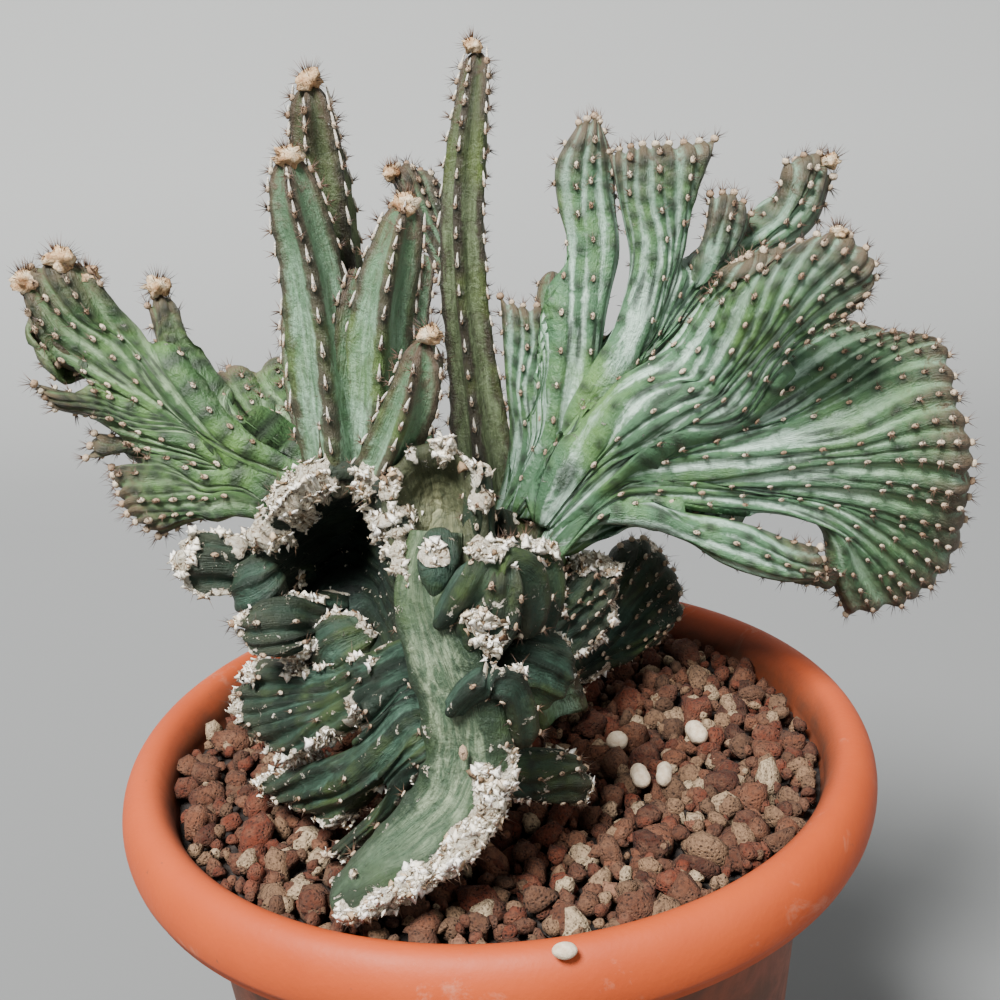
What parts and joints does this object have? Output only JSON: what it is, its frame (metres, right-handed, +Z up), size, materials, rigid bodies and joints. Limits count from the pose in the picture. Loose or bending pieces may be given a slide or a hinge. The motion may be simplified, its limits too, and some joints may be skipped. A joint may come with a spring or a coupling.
{
  "type": "potted crested cactus",
  "caption": "Crested cactus of ribbed fans, combs and upright spears with spined woolly areoles, growing in gravel in a round tapered plant pot with a rolled rim.",
  "frame": {"origin": "middle of the pot's flat base", "axes": "+Z up, -Y towards the front growth and the viewer of the picture, +X to the right along the larger fan"},
  "size_m": [0.1622, 0.14, 0.2417],
  "materials": {
    "pot": "satin",
    "gravel": "rough",
    "cactus": "waxy",
    "granule": "matte"
  },
  "bodies": {
    "root": {"pot": "pot", "gravel": "gravel", "cactus": "cactus", "granule_oval": "granule", "granule_left": "granule", "granule_right": "granule", "granule_round": "granule", "granule_rim": "granule"}
  },
  "joints": []
}
